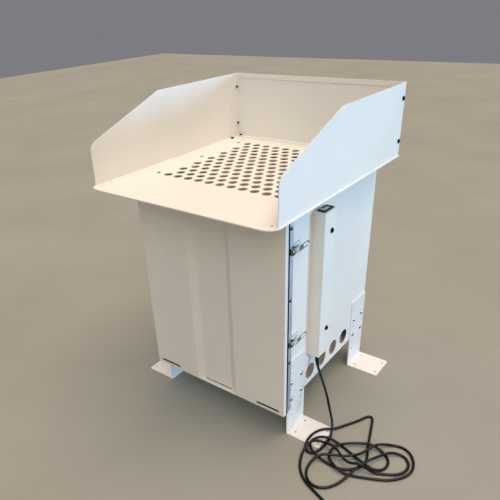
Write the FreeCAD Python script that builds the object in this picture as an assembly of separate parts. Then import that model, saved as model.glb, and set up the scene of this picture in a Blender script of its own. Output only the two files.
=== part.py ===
"""Library work station: a perforated extraction bed with guards on a cabinet that stands on four bolted feet.

Millimetres. +X is to the right seen from the front, the front faces -Y, +Z is up. The origin is on the floor
at the middle of the station. Each node is written to parts/NODE.step.
"""
import FreeCAD, Part
import math
import os

V = FreeCAD.Vector
X_AXIS = V(1, 0, 0)
Y_AXIS = V(0, 1, 0)
Z_AXIS = V(0, 0, 1)

# Driving dimensions: the work surface
TRAY_HALF_X = 300.0
TRAY_HALF_Y = 344.0
TRAY_TOP = 746.0
TRAY_T = 3.0
TRAY_BOTTOM = TRAY_TOP - TRAY_T
TRAY_CORNER_R = 36.0
HOLE_R = 12.8
HOLE_PITCH = 37.5
ROW_PITCH = HOLE_PITCH * math.sin(math.radians(60.0))
HOLE_ROWS = 13
FIRST_ROW_Y = -144.0
LONG_ROW_HOLES = 11
TRAY_SCREW_X = (LONG_ROW_HOLES + 1) / 2.0 * HOLE_PITCH
TRAY_SCREW_Y = [FIRST_ROW_Y + row * ROW_PITCH for row in (0, 6, 12)]

# Guards and back panel
GUARD_X = 296.5
GUARD_T = 2.0
GUARD_TOP = 951.0
GUARD_FRONT_Y = -320.0
GUARD_REAR_Y = 343.5
GUARD_LOW_BEND = (-316.0, 854.0)
GUARD_HIGH_BEND_Y = -43.0
TABS = {"front": (-320.0, -262.0), "middle": (-98.0, -58.0), "rear": (270.0, 338.0)}
TAB_FOOT_IN = 34.5
TAB_GAP = 0.1
TAB_DROP = {"front": 2.0, "middle": 5.0, "rear": 2.0}
GUARD_LOW_BEND_R = 30.0
GUARD_HIGH_BEND_R = 14.0
GUARD_BOLT_Y = 331.5
GUARD_BOLT_Z = (909.0, 790.0)
PIN_HOLE = (321.0, 850.0)
PIN_HOLE_R = 1.5
FRONT_TAB_SCREWS = [(276.0, -314.0), (276.0, -279.0)]
REAR_TAB_SCREWS = [(281.0, 286.0), (278.0, 332.0)]
BACK_FLANGE_FRONT = 318.0
GUSSET_BASE_Y = 292.0
GUSSET_TOP_Y = 321.0
HEM_DEPTH = 14.0

# Cabinet
SHEET = 1.5
BODY_HALF_X = 237.0
BODY_FRONT = -196.5
BODY_REAR = 338.0
BODY_BOTTOM = 113.5
FRAME_BAR = 15.0
FRAME_SILL_TOP = 145.0
FLANGE = 24.0
BASE_TOP = 117.0
VENT_R = 26.0
VENT_Z = 156.0
VENT_Y = [-39.0, 36.5, 112.0, 187.5]
WIRE_HOLE = (-28.0, 400.0)
WIRE_HOLE_R = 8.0

# Feet
FOOT_T = 3.0
FOOT_TOP = 265.0
FOOT_WIDTH = 100.0
FOOT_OUT_X = 350.5
FOOT_Y = {"front": -128.0, "rear": 288.0}
FOOT_COLUMN = 29.0
FOOT_BEND_R = 2.5
SOLE_CORNER_R = 5.0
LEG_HOLE_Z = [64.0 + 31.0 * step for step in range(7)]
LEG_HOLE_R = 4.05
LEG_BOLT_Z = (126.0, 188.0)
FLOOR_HOLE_X = (259.0, 338.0)
FLOOR_HOLE_R = 3.5
FLOOR_HOLE_DY = 29.5

# Screw and bolt clearances: radii of the holes for M4, M5 and M6, and how far a cutter reaches past a face
M4_HOLE_R = 2.05
M5_HOLE_R = 2.55
M6_HOLE_R = 3.05
TRAY_SCREW_HEAD_R = 5.5
TAB_SCREW_HEAD_R = 3.6
M4_R = 2.0
M5_R = 2.5
OVER = 1.0
TINY = 1e-6

# Service door
DOOR_FRONT = -216.0
DOOR_BACK = -202.0
DOOR_HALF_X = 251.5
DOOR_BOTTOM = 104.0
DOOR_TOP = 738.0
CHANNEL_HALF = 77.0
CHANNEL_FLOOR_HALF = 53.0
CHANNEL_DEPTH = 12.5
CHANNEL_SEAM = 5.0
LINER_T = 1.5
LINER_BOTTOM = 126.0
STRIP_OUT_X = 250.0
STRIP_T = 3.0
STRIP_BACK = -177.0
TRIM_DEPTH = 5.0
TRIM_OUT_X = 252.5
STRIP_TOP = DOOR_TOP - 2.0
STRIP_SCREW_Z = (689.0, 487.0, 285.0)
STRIP_SCREW_Y = -188.0
SLOT_X = 194.5
SLOT_WIDTH = 81.0
SLOT_Z = (108.5, 120.5)
TONGUE_WIDTH = 75.0
TONGUE_T = 2.0
TONGUE_LIP_BOTTOM = 109.6
TONGUE_FRONT = -219.0
GASKET_T = 4.0
GASKET_WIDTH = 14.0

# Toggle latches, in the right-hand latch's own place
LATCH_Z = {"upper": 628.0, "lower": 348.0}
LATCH_PIVOT = V(253.0, -166.0, 0)
BAIL_PIVOT = V(251.5, -157.0, 0)
BAIL_FRONT = V(254.2, -191.9, 0)
BAIL_WIRE_R = 1.25
BAIL_ARM_Z = 9.0
BAIL_STUB_Z = 6.2
KEEPER_T = 1.5
KEEPER_Y = (-196.8, -183.0)
KEEPER_WALL_Y = (-190.1, -188.1)
KEEPER_WALL_OUT = 257.0
LATCH_SHEET = 1.5
LATCH_BASE_T = 2.0
LATCH_BASE_Y = (-177.0, -127.0)
LATCH_BASE_HALF_Z = 12.0
LATCH_PIN_R = 2.0
EAR_R = 5.0
EAR_Z = 4.0
LEVER_CHEEK_R = 5.4
LEVER_CHEEK_Z = 6.0
LEVER_EYE_R = 3.4
LEVER_X = (251.5, 259.0)
LEVER_CHEEK_END = -143.0
LEVER_WEB_Y = (-159.0, -142.0)
LEVER_LOOP_Y = (-146.0, -112.0)
LEVER_LOOP_HALF_Z = 7.6
LEVER_LOOP_WIRE = 3.0
LEVER_LOOP_ROUND = 1.2

# Switch box
BOX_OUT_X = 273.5
BOX_Y = (-58.5, 1.5)
BOX_Z = (232.0, 688.0)
BOX_SCREW_Y = -20.0
BOX_SCREW_Z = (630.0, 320.0)
SWITCH_X = 256.0
SWITCH_Y = -27.0
SWITCH_HALF = (11.5, 24.5)
SWITCH_RIM = 3.0
SWITCH_CUT = (9.0, 22.0)
ROCKER_HALF = (6.6, 17.4)
ROCKER_PIVOT_Z = 687.5
ROCKER_REST_DEG = -8.0

# Fan and filter
FAN_Y = 70.0
MOTOR_BASE = 198.0
MOTOR_R = 52.0
MOTOR_HEIGHT = 56.0
SHAFT_R = 6.0
BRACKET_HALF_Y = 50.0
BRACKET_T = 2.0
BRACKET_LIP = 14.0
DECK_Z = 344.0
DECK_T = 2.0
NOZZLE_R = 96.0
NOZZLE_LIP_R = 118.0
NOZZLE_DROP = 18.0
WHEEL_R = 125.0
WHEEL_Z = (268.0, 322.0)
BLADES = 9
BLADE_IN_R = 62.0
BLADE_T = 2.5
BLADE_DEG = 35
RAIL_Z = 640.0
RAIL_T = 2.0
RAIL_WIDTH = 28.0
RAIL_UP = 22.0
FILTER_HALF_X = 215.0
FILTER_Y = (-185.0, 325.0)
FILTER_DEPTH = 60.0
FILTER_WALL = 12.0
FOLDS = 20
FOLD_LOW = 6.0
FOLD_HIGH = 48.0
FOLD_T = 3.0
MAT_DOWN = (1.0, 7.0)

# Mains cord
CORD_R = 4.0
GLAND_X = 257.0
GLAND_Y = -36.0
GLAND_END_Z = 218.0
PILE_HEIGHT = 24.0
COIL_X = 525.0
COIL_Y = -408.0
COIL_OUTER_R = 52.5
COIL_INNER_R = 27.0
COIL_HEIGHT = 24.5
PLUG_R = 17.5
PIN_APART = 9.5
PIN_END = 64.05

parts = {}


def add(name, *solids):
    """Keep one node: a single solid, or a group of separate solids."""
    parts[name] = solids[0] if len(solids) == 1 else Part.makeCompound(list(solids))


def block(x_range, y_range, z_range):
    low = V(x_range[0], y_range[0], z_range[0])
    return Part.makeBox(x_range[1] - x_range[0], y_range[1] - y_range[0], z_range[1] - z_range[0], low)


def rod(base, radius, length, direction):
    return Part.makeCylinder(radius, length, base, direction)


def prism(points, sweep):
    wire = Part.makePolygon(points + [points[0]])
    return Part.Face(wire).extrude(sweep)


def mirrored(shape):
    return shape.mirror(V(0, 0, 0), X_AXIS)


def both_sides(solids):
    return list(solids) + [mirrored(solid) for solid in solids]


def cut_all(solid, tools):
    return solid.cut(Part.makeCompound(list(tools))).removeSplitter()


def fuse_all(first, others):
    return first.multiFuse(list(others)).removeSplitter()


def hexagon(base, across_flats, height, direction):
    """A six-sided prism that starts at base and grows along direction."""
    radius = across_flats / math.sqrt(3.0)
    points = [V(radius * math.cos(math.radians(60 * k)), radius * math.sin(math.radians(60 * k)), 0)
              for k in range(6)]
    return placed(prism(points, V(0, 0, height)), base, direction)


def placed(shape, base, direction):
    """Turn a shape drawn along +Z so that it points along direction, with its origin at base."""
    copy = shape.copy()
    copy.Placement = FreeCAD.Placement(base, FreeCAD.Rotation(Z_AXIS, direction))
    return copy


def button_screw(head_r, head_h, shank_r, length, socket):
    """A domed screw along +Z: its seat is at z = 0, its shank goes down and its hex socket opens upwards."""
    rim = head_h * 0.25
    side = Part.LineSegment(V(head_r, 0, 0), V(head_r, 0, rim)).toShape()
    shoulder = V(head_r * 0.78, 0, head_h * 0.72)
    crown = Part.Arc(V(head_r, 0, rim), shoulder, V(head_r * 0.3, 0, head_h)).toShape()
    top = Part.LineSegment(V(head_r * 0.3, 0, head_h), V(0, 0, head_h)).toShape()
    axis = Part.LineSegment(V(0, 0, head_h), V(0, 0, 0)).toShape()
    seat = Part.LineSegment(V(0, 0, 0), V(head_r, 0, 0)).toShape()
    head = Part.Face(Part.Wire([side, crown, top, axis, seat])).revolve(V(0, 0, 0), Z_AXIS, 360)
    screw = head.fuse(rod(V(0, 0, -length), shank_r, length, Z_AXIS)).removeSplitter()
    return screw.cut(hexagon(V(0, 0, head_h * 0.45), socket, head_h, Z_AXIS))


def flat_screw(head_r, shank_r, length, socket):
    """A countersunk screw along +Z whose flat head ends at z = 0."""
    depth = head_r - shank_r
    head = Part.makeCone(shank_r, head_r, depth, V(0, 0, -depth))
    screw = head.fuse(rod(V(0, 0, -length), shank_r, length, Z_AXIS)).removeSplitter()
    return screw.cut(hexagon(V(0, 0, -depth * 0.7), socket, depth, Z_AXIS))


def flat_screw_hole(head_r, shank_r, base, depth):
    """The clearance for a countersunk screw whose head ends at base."""
    gap = 0.05
    taper = head_r - shank_r
    cone = Part.makeCone(shank_r + gap, head_r + gap, taper, base - V(0, 0, taper))
    return cone.fuse(rod(base - V(0, 0, depth), shank_r + gap, depth, Z_AXIS))


def nut(base, across_flats, height, hole_r, direction):
    body = hexagon(base, across_flats, height, direction)
    return body.cut(rod(base, hole_r, height, direction))


def corner_arc(before, corner, after, radius):
    """The arc of the given radius that joins two straight runs: its first, middle and last points."""
    back = (before - corner).normalize()
    ahead = (after - corner).normalize()
    half_turn = (math.pi - back.getAngle(ahead)) / 2.0
    setback = radius * math.tan(half_turn)
    towards_centre = (back + ahead).normalize()
    middle = corner + towards_centre * (radius / math.cos(half_turn) - radius)
    return corner + back * setback, middle, corner + ahead * setback


def rounded_outline(points, radii):
    """A closed wire through points, each corner rounded to its radius; 0 leaves it sharp."""
    edges = []
    ends = []
    for index, corner in enumerate(points):
        before = points[index - 1]
        after = points[(index + 1) % len(points)]
        if radii[index] > 0:
            first, middle, last = corner_arc(before, corner, after, radii[index])
            edges.append(Part.Arc(first, middle, last).toShape())
        else:
            first, last = corner, corner
        ends.append((first, last))
    for index in range(len(points)):
        start = ends[index][1]
        finish = ends[(index + 1) % len(points)][0]
        if start.distanceToPoint(finish) > 1e-6:
            edges.append(Part.LineSegment(start, finish).toShape())
    return Part.Wire(Part.__sortEdges__(edges))


def tube(name, points, radius):
    """A cord along straight runs joined by tangent arcs, as large as the runs allow."""
    edges = []
    radii = []
    start = points[0]
    for before, corner, after in zip(points, points[1:], points[2:]):
        shorter = min(corner.distanceToPoint(before), corner.distanceToPoint(after))
        half_turn = (math.pi - (before - corner).getAngle(after - corner)) / 2.0
        bend = 0.45 * shorter / math.tan(half_turn)
        first, middle, last = corner_arc(before, corner, after, bend)
        edges.append(Part.LineSegment(start, first).toShape())
        edges.append(Part.Arc(first, middle, last).toShape())
        radii.append(bend)
        start = last
    edges.append(Part.LineSegment(start, points[-1]).toShape())
    path = Part.Wire(edges)
    circle = Part.Wire(Part.makeCircle(radius, points[0], points[1] - points[0]))
    solid = path.makePipeShell([circle], True, False)
    expected = math.pi * radius ** 2 * path.Length
    print(f"{name}: length {path.Length:.0f}, volume ratio {solid.Volume / expected:.4f}, radii",
          [round(value) for value in radii])
    return solid


def build_tray():
    corners = [V(-TRAY_HALF_X, -TRAY_HALF_Y, TRAY_BOTTOM), V(TRAY_HALF_X, -TRAY_HALF_Y, TRAY_BOTTOM),
               V(TRAY_HALF_X, TRAY_HALF_Y, TRAY_BOTTOM), V(-TRAY_HALF_X, TRAY_HALF_Y, TRAY_BOTTOM)]
    outline = rounded_outline(corners, [TRAY_CORNER_R, TRAY_CORNER_R, 0, 0])
    plate = Part.Face(outline).extrude(V(0, 0, TRAY_T))
    holes = []
    for row in range(HOLE_ROWS):
        count = LONG_ROW_HOLES - row % 2
        y = FIRST_ROW_Y + row * ROW_PITCH
        for column in range(count):
            x = (column - (count - 1) / 2.0) * HOLE_PITCH
            holes.append(rod(V(x, y, TRAY_BOTTOM - OVER), HOLE_R, TRAY_T + 2 * OVER, Z_AXIS))
    for side in (-1, 1):
        for y in TRAY_SCREW_Y:
            place = V(side * TRAY_SCREW_X, y, TRAY_TOP)
            holes.append(flat_screw_hole(TRAY_SCREW_HEAD_R, M5_R, place, TRAY_T + OVER))
        for x, y in FRONT_TAB_SCREWS:
            holes.append(flat_screw_hole(TAB_SCREW_HEAD_R, M4_R, V(side * x, y, TRAY_TOP), TRAY_T + OVER))
        for x, y in REAR_TAB_SCREWS:
            holes.append(rod(V(side * x, y, TRAY_BOTTOM - OVER), M5_HOLE_R, TRAY_T + 2 * OVER, Z_AXIS))
        for low, high in TABS.values():
            slot = block((GUARD_X - GUARD_T - TAB_GAP, GUARD_X + TAB_GAP), (low - TAB_GAP, high + TAB_GAP),
                         (TRAY_BOTTOM - OVER, TRAY_TOP + OVER))
            holes.append(slot if side > 0 else mirrored(slot))
    add("tray_plate", cut_all(plate, holes))
    screw = flat_screw(TRAY_SCREW_HEAD_R, M5_R, 14.0, 3.0)
    add("tray_screws", *[placed(screw, V(side * TRAY_SCREW_X, y, TRAY_TOP), Z_AXIS)
                         for side in (-1, 1) for y in TRAY_SCREW_Y])


def build_guards():
    x = GUARD_X - GUARD_T
    outline = [V(x, GUARD_FRONT_Y, TRAY_TOP), V(x, GUARD_LOW_BEND[0], GUARD_LOW_BEND[1]),
               V(x, GUARD_HIGH_BEND_Y, GUARD_TOP), V(x, GUARD_REAR_Y, GUARD_TOP), V(x, GUARD_REAR_Y, TRAY_TOP)]
    bends = [0, GUARD_LOW_BEND_R, GUARD_HIGH_BEND_R, 0, 0]
    sheet = Part.Face(rounded_outline(outline, bends)).extrude(V(GUARD_T, 0, 0))
    tabs = []
    for name, y_range in TABS.items():
        depth = TRAY_T + TAB_DROP[name]
        tabs.append(block((x, GUARD_X), y_range, (TRAY_TOP - depth, TRAY_TOP)))
        if name != "middle":
            tabs.append(block((GUARD_X - TAB_FOOT_IN, GUARD_X), y_range, (TRAY_BOTTOM - GUARD_T, TRAY_BOTTOM)))
    through = GUARD_T + 2 * OVER
    under = TRAY_BOTTOM - GUARD_T - OVER
    holes = [rod(V(x - OVER, GUARD_BOLT_Y, z), M6_HOLE_R, through, X_AXIS) for z in GUARD_BOLT_Z]
    holes.append(rod(V(x - OVER, PIN_HOLE[0], PIN_HOLE[1]), PIN_HOLE_R, through, X_AXIS))
    holes += [rod(V(sx, sy, under), M4_HOLE_R, through, Z_AXIS) for sx, sy in FRONT_TAB_SCREWS]
    holes += [rod(V(sx, sy, under), M5_HOLE_R, through, Z_AXIS) for sx, sy in REAR_TAB_SCREWS]
    guard = cut_all(fuse_all(sheet, tabs), holes)
    add("guard_right", guard)
    add("guard_left", mirrored(guard))
    front_screw = flat_screw(TAB_SCREW_HEAD_R, M4_R, 8.0, 2.0)
    add("guard_tab_screws", *both_sides([placed(front_screw, V(sx, sy, TRAY_TOP), Z_AXIS)
                                         for sx, sy in FRONT_TAB_SCREWS]))


def build_back_panel():
    x = GUARD_X - GUARD_T
    rear = block((-x, x), (GUARD_REAR_Y - GUARD_T, GUARD_REAR_Y), (TRAY_TOP, GUARD_TOP))
    y_in = GUARD_REAR_Y - GUARD_T
    foot = block((-x + GUARD_T, x - GUARD_T), (BACK_FLANGE_FRONT, y_in), (TRAY_TOP, TRAY_TOP + GUARD_T))
    hem = block((-x + GUARD_T, x - GUARD_T), (y_in - GUARD_T, y_in), (GUARD_TOP - HEM_DEPTH, GUARD_TOP))
    gusset = prism([V(x - GUARD_T, y_in, TRAY_TOP), V(x - GUARD_T, GUSSET_BASE_Y, TRAY_TOP),
                    V(x - GUARD_T, GUSSET_TOP_Y, GUARD_TOP), V(x - GUARD_T, y_in, GUARD_TOP)], V(GUARD_T, 0, 0))
    panel = fuse_all(rear, [foot, hem] + both_sides([gusset]))
    bolt_holes = [rod(V(x - GUARD_T - OVER, GUARD_BOLT_Y, z), M6_HOLE_R, GUARD_T + 2 * OVER, X_AXIS)
                  for z in GUARD_BOLT_Z]
    sx, sy = REAR_TAB_SCREWS[1]
    bolt_holes.append(rod(V(sx, sy, TRAY_TOP - OVER), M5_HOLE_R, GUARD_T + 2 * OVER, Z_AXIS))
    add("back_panel", cut_all(panel, both_sides(bolt_holes)))
    bolt = button_screw(6.6, 4.6, 3.0, 12.0, 4.0)
    side_bolts = [placed(bolt, V(GUARD_X, GUARD_BOLT_Y, z), X_AXIS) for z in GUARD_BOLT_Z]
    add("guard_bolts", *both_sides(side_bolts))
    nut_height = 5.0
    nuts = [nut(V(x - GUARD_T - nut_height, GUARD_BOLT_Y, z), 10.0, nut_height, M6_HOLE_R, X_AXIS)
            for z in GUARD_BOLT_Z]
    add("guard_nuts", *both_sides(nuts))
    floor_screw = button_screw(5.9, 4.4, M5_R, 11.0, 3.0)
    seats = [TRAY_TOP, TRAY_TOP + GUARD_T]
    add("corner_screws", *both_sides([placed(floor_screw, V(sx, sy, seat), Z_AXIS)
                                      for (sx, sy), seat in zip(REAR_TAB_SCREWS, seats)]))


def build_side_panels():
    inner = BODY_HALF_X - SHEET
    y_range = (BODY_FRONT + SHEET, BODY_REAR)
    y_flange = (BODY_FRONT + SHEET, BODY_REAR - SHEET)
    sheet = block((inner, BODY_HALF_X), y_range, (BODY_BOTTOM, TRAY_BOTTOM))
    top = block((BODY_HALF_X - FLANGE, BODY_HALF_X), y_flange, (TRAY_BOTTOM - SHEET, TRAY_BOTTOM))
    bottom = block((BODY_HALF_X - FLANGE, BODY_HALF_X), y_flange, (BODY_BOTTOM, BODY_BOTTOM + SHEET))
    through = SHEET + 2 * OVER
    holes = [rod(V(inner - OVER, y, VENT_Z), VENT_R, through, X_AXIS) for y in VENT_Y]
    for centre in FOOT_Y.values():
        for side in (-1, 1):
            for z in LEG_BOLT_Z:
                holes.append(rod(V(inner - OVER, centre + side * FOOT_COLUMN, z), LEG_HOLE_R, through, X_AXIS))
    under = TRAY_BOTTOM - SHEET - OVER
    holes += [rod(V(TRAY_SCREW_X, y, under), M5_HOLE_R, through, Z_AXIS) for y in TRAY_SCREW_Y]
    panel = cut_all(fuse_all(sheet, [top, bottom]), holes)
    add("side_panel_left", mirrored(panel))
    wire_hole = rod(V(inner - OVER, WIRE_HOLE[0], WIRE_HOLE[1]), WIRE_HOLE_R, through, X_AXIS)
    add("side_panel_right", panel.cut(wire_hole))


def build_cabinet():
    inner = BODY_HALF_X - SHEET
    add("rear_panel", block((-inner, inner), (BODY_REAR - SHEET, BODY_REAR), (BODY_BOTTOM, TRAY_BOTTOM)))
    add("base_panel", block((-inner, inner), (BODY_FRONT + SHEET, BODY_REAR - SHEET),
                            (BODY_BOTTOM + SHEET, BASE_TOP)))
    frame = block((-BODY_HALF_X, BODY_HALF_X), (BODY_FRONT, BODY_FRONT + SHEET), (BODY_BOTTOM, TRAY_BOTTOM))
    opening_half = BODY_HALF_X - FRAME_BAR
    opening = block((-opening_half, opening_half), (BODY_FRONT - OVER, BODY_FRONT + SHEET + OVER),
                    (FRAME_SILL_TOP, TRAY_BOTTOM - FRAME_BAR))
    add("front_frame", frame.cut(opening))
    tongue_x = (SLOT_X - TONGUE_WIDTH / 2, SLOT_X + TONGUE_WIDTH / 2)
    tongue = block(tongue_x, (TONGUE_FRONT, BODY_FRONT), (BASE_TOP - TONGUE_T, BASE_TOP))
    lip = block(tongue_x, (TONGUE_FRONT, TONGUE_FRONT + TONGUE_T), (TONGUE_LIP_BOTTOM, BASE_TOP))
    add("door_tongues", *both_sides([tongue.fuse(lip).removeSplitter()]))


def build_feet():
    for place, centre in FOOT_Y.items():
        y_range = (centre - FOOT_WIDTH / 2, centre + FOOT_WIDTH / 2)
        leg = block((BODY_HALF_X, BODY_HALF_X + FOOT_T), y_range, (0, FOOT_TOP))
        corners = [V(BODY_HALF_X, y_range[0], 0), V(FOOT_OUT_X, y_range[0], 0),
                   V(FOOT_OUT_X, y_range[1], 0), V(BODY_HALF_X, y_range[1], 0)]
        outline = rounded_outline(corners, [0, SOLE_CORNER_R, SOLE_CORNER_R, 0])
        sole = Part.Face(outline).extrude(V(0, 0, FOOT_T))
        holes = []
        for side in (-1, 1):
            for z in LEG_HOLE_Z:
                holes.append(rod(V(BODY_HALF_X - OVER, centre + side * FOOT_COLUMN, z), LEG_HOLE_R,
                                 FOOT_T + 2 * OVER, X_AXIS))
            for x in FLOOR_HOLE_X:
                holes.append(rod(V(x, centre + side * FLOOR_HOLE_DY, -OVER), FLOOR_HOLE_R,
                                 FOOT_T + 2 * OVER, Z_AXIS))
        foot = cut_all(leg.fuse(sole).removeSplitter(), holes)
        foot = foot.makeFillet(FOOT_BEND_R, [edge for edge in foot.Edges if is_foot_bend(edge, y_range)])
        add("foot_" + place + "_right", foot)
        add("foot_" + place + "_left", mirrored(foot))
    bolt = button_screw(7.0, 4.4, 4.0, 10.5, 5.0)
    nut_height = 6.0
    bolts = []
    nuts = []
    for centre in FOOT_Y.values():
        for side in (-1, 1):
            for z in LEG_BOLT_Z:
                y = centre + side * FOOT_COLUMN
                bolts.append(placed(bolt, V(BODY_HALF_X + FOOT_T, y, z), X_AXIS))
                seat = V(BODY_HALF_X - SHEET - nut_height, y, z)
                nuts.append(nut(seat, 13.0, nut_height, LEG_HOLE_R, X_AXIS))
    add("foot_bolts", *both_sides(bolts))
    add("foot_nuts", *both_sides(nuts))


def is_foot_bend(edge, y_range):
    """The straight edge under the leg, where the sole turns out of it."""
    box = edge.BoundBox
    near = 0.01
    on_floor = box.ZMax < near
    at_leg = abs(box.XMin - BODY_HALF_X) < near and abs(box.XMax - BODY_HALF_X) < near
    return on_floor and at_leg and abs(box.YLength - FOOT_WIDTH) < near


def door_section(inset):
    """One side of the door skin's section, from the left return to the right one."""
    half = DOOR_HALF_X - inset
    front = DOOR_FRONT + inset
    slope = math.atan2(CHANNEL_DEPTH, CHANNEL_HALF - CHANNEL_FLOOR_HALF)
    shift = inset * math.tan(slope / 2.0)
    mouth = CHANNEL_HALF + shift
    floor = CHANNEL_FLOOR_HALF + shift
    return [V(-half, DOOR_BACK, DOOR_BOTTOM), V(-half, front, DOOR_BOTTOM), V(-mouth, front, DOOR_BOTTOM),
            V(-floor, front + CHANNEL_DEPTH, DOOR_BOTTOM), V(floor, front + CHANNEL_DEPTH, DOOR_BOTTOM),
            V(mouth, front, DOOR_BOTTOM), V(half, front, DOOR_BOTTOM), V(half, DOOR_BACK, DOOR_BOTTOM)]


def build_door():
    section = door_section(0.0) + door_section(SHEET)[::-1]
    skin = prism(section, V(0, 0, DOOR_TOP - DOOR_BOTTOM))
    ends = [block((-DOOR_HALF_X, DOOR_HALF_X), (DOOR_FRONT, DOOR_BACK), z_range)
            for z_range in ((DOOR_BOTTOM, DOOR_BOTTOM + SHEET), (DOOR_TOP - SHEET, DOOR_TOP))]
    slot = block((SLOT_X - SLOT_WIDTH / 2, SLOT_X + SLOT_WIDTH / 2),
                 (DOOR_FRONT - OVER, DOOR_FRONT + SHEET + OVER), SLOT_Z)
    seam = block((-CHANNEL_FLOOR_HALF, CHANNEL_FLOOR_HALF),
                 (DOOR_FRONT + CHANNEL_DEPTH - OVER, DOOR_FRONT + CHANNEL_DEPTH + SHEET + OVER),
                 (DOOR_BOTTOM + SHEET, DOOR_BOTTOM + SHEET + CHANNEL_SEAM))
    add("door_skin", cut_all(fuse_all(skin, ends), both_sides([slot]) + [seam]))

    flange_out = STRIP_OUT_X - STRIP_T
    back = block((-flange_out, flange_out), (DOOR_BACK, DOOR_BACK + LINER_T), (LINER_BOTTOM, STRIP_TOP))
    wing = block((flange_out - LINER_T, flange_out), (DOOR_BACK, STRIP_BACK), (LINER_BOTTOM, STRIP_TOP))
    liner = fuse_all(back, both_sides([wing]))
    screw_holes = [rod(V(flange_out - LINER_T - OVER, STRIP_SCREW_Y, z), M5_HOLE_R,
                       STRIP_T + LINER_T + 2 * OVER, X_AXIS) for z in STRIP_SCREW_Z]
    add("door_liner", cut_all(liner, both_sides(screw_holes)))

    strip = block((flange_out, STRIP_OUT_X), (DOOR_BACK + TRIM_DEPTH, STRIP_BACK), (DOOR_BOTTOM, STRIP_TOP))
    add("door_strips", *both_sides([cut_all(strip, screw_holes)]))
    trim = block((flange_out, TRIM_OUT_X), (DOOR_BACK, DOOR_BACK + TRIM_DEPTH), (DOOR_BOTTOM, DOOR_TOP))
    add("door_edge_trims", *both_sides([trim]))
    screw = button_screw(4.8, 3.2, M5_R, 6.5, 2.6)
    add("door_strip_screws", *both_sides([placed(screw, V(STRIP_OUT_X, STRIP_SCREW_Y, z), X_AXIS)
                                          for z in STRIP_SCREW_Z]))

    half = BODY_HALF_X - 1.0
    seal_z = (LINER_BOTTOM + 2.0, STRIP_TOP - 2.0)
    seal_y = (BODY_FRONT - GASKET_T, BODY_FRONT)
    ring = block((-half, half), seal_y, seal_z)
    hollow = block((-half + GASKET_WIDTH, half - GASKET_WIDTH), (seal_y[0] - OVER, seal_y[1] + OVER),
                   (seal_z[0] + GASKET_WIDTH, seal_z[1] - GASKET_WIDTH))
    add("door_gasket", ring.cut(hollow))

    keepers = []
    for z in LATCH_Z.values():
        plate = block((STRIP_OUT_X, STRIP_OUT_X + KEEPER_T), KEEPER_Y, (z - 9, z + 9))
        wall = block((STRIP_OUT_X, KEEPER_WALL_OUT), KEEPER_WALL_Y, (z - 7, z + 7))
        keepers.append(plate.fuse(wall).removeSplitter())
    add("latch_keepers", *both_sides(keepers))


def wire_piece(start, end, radius):
    """A round wire between two points, with ball ends so that the next piece joins it."""
    run = end - start
    body = rod(start, radius, run.Length, run)
    return [body, Part.makeSphere(radius, start), Part.makeSphere(radius, end)]


def latch_base(z):
    """The fixed plate with two ears that carry the lever's pin."""
    plate = block((BODY_HALF_X, BODY_HALF_X + LATCH_BASE_T), LATCH_BASE_Y,
                  (z - LATCH_BASE_HALF_Z, z + LATCH_BASE_HALF_Z))
    ears = []
    for low in (EAR_Z, -EAR_Z - LATCH_SHEET):
        height = (z + low, z + low + LATCH_SHEET)
        ears.append(block((BODY_HALF_X, LATCH_PIVOT.x), (LATCH_PIVOT.y - EAR_R, LATCH_PIVOT.y + EAR_R), height))
        ears.append(rod(V(LATCH_PIVOT.x, LATCH_PIVOT.y, z + low), EAR_R, LATCH_SHEET, Z_AXIS))
    bore_z = z - LATCH_BASE_HALF_Z
    bore = rod(V(LATCH_PIVOT.x, LATCH_PIVOT.y, bore_z), M4_HOLE_R, 2 * LATCH_BASE_HALF_Z, Z_AXIS)
    return fuse_all(plate, ears).cut(bore)


def lever_loop(z, grow):
    """The lever's long finger loop as a solid, grown or shrunk by an offset of its outline."""
    half = LEVER_LOOP_HALF_Z + grow
    x = LEVER_X[1] - LEVER_LOOP_WIRE
    first = LEVER_LOOP_Y[0] - grow
    last = LEVER_LOOP_Y[1] + grow
    corners = [V(x, first, z - half), V(x, last, z - half), V(x, last, z + half), V(x, first, z + half)]
    outline = rounded_outline(corners, [half * 0.5, half * 0.95, half * 0.95, half * 0.5])
    return Part.Face(outline).extrude(V(LEVER_LOOP_WIRE, 0, 0))


def latch_lever(z):
    loop = lever_loop(z, 0).cut(lever_loop(z, -LEVER_LOOP_WIRE))
    outlines = [edge for edge in loop.Edges if edge.BoundBox.XLength < TINY]
    pieces = [loop.makeFillet(LEVER_LOOP_ROUND, outlines)]
    for low in (LEVER_CHEEK_Z, -LEVER_CHEEK_Z - LATCH_SHEET):
        height = (z + low, z + low + LATCH_SHEET)
        pieces.append(rod(V(LATCH_PIVOT.x, LATCH_PIVOT.y, z + low), LEVER_CHEEK_R, LATCH_SHEET, Z_AXIS))
        pieces.append(rod(V(BAIL_PIVOT.x, BAIL_PIVOT.y, z + low), LEVER_EYE_R, LATCH_SHEET, Z_AXIS))
        pieces.append(block(LEVER_X, (LATCH_PIVOT.y, LEVER_CHEEK_END), height))
    web_half = LEVER_CHEEK_Z + LATCH_SHEET
    web = block((LEVER_X[1] - LATCH_SHEET, LEVER_X[1]), LEVER_WEB_Y, (z - web_half, z + web_half))
    lever = fuse_all(web, pieces)
    bore_z = z - LATCH_BASE_HALF_Z
    bores = [rod(V(LATCH_PIVOT.x, LATCH_PIVOT.y, bore_z), M4_HOLE_R, 2 * LATCH_BASE_HALF_Z, Z_AXIS),
             rod(V(BAIL_PIVOT.x, BAIL_PIVOT.y, bore_z), BAIL_WIRE_R + 0.05, 2 * LATCH_BASE_HALF_Z, Z_AXIS)]
    return cut_all(lever, bores)


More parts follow.
